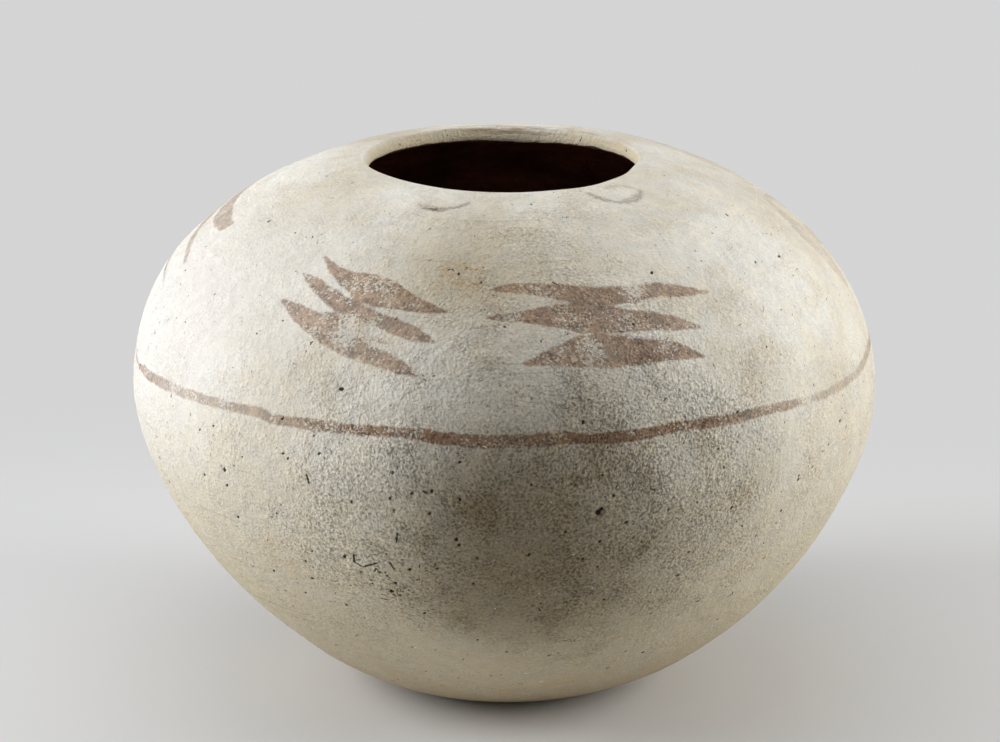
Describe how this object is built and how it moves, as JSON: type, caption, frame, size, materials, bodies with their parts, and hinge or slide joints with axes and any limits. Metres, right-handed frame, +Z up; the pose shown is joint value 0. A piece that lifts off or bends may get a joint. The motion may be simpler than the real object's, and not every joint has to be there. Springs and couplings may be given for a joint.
{
  "type": "seed jar",
  "caption": "Squat, globular hand-coiled pottery jar with a small inturned mouth and no neck, for storing seeds.",
  "frame": {"origin": "centre of the resting face, at the bottom of the jar", "axes": "+Z up out of the mouth, -Y towards the pictured front, +X to its right"},
  "size_m": [0.2997, 0.2996, 0.215],
  "materials": {
    "slipped_clay": "cream-buff slip over fired clay, stone-rubbed, worn, with red-brown mineral paint",
    "bare_clay": "scraped bare tan clay, matt",
    "stained_lip": "slip worn through and stained brown along the lip"
  },
  "bodies": {
    "root": {"base_pat": "bare_clay", "wall_coil_01": "slipped_clay", "wall_coil_02": "slipped_clay", "wall_coil_03": "slipped_clay", "wall_coil_04": "slipped_clay", "wall_coil_05": "slipped_clay", "wall_coil_06": "slipped_clay", "wall_coil_07": "slipped_clay", "wall_coil_08": "slipped_clay", "wall_coil_09": "slipped_clay", "wall_coil_10": "slipped_clay", "rim_coil": "stained_lip"}
  },
  "joints": []
}
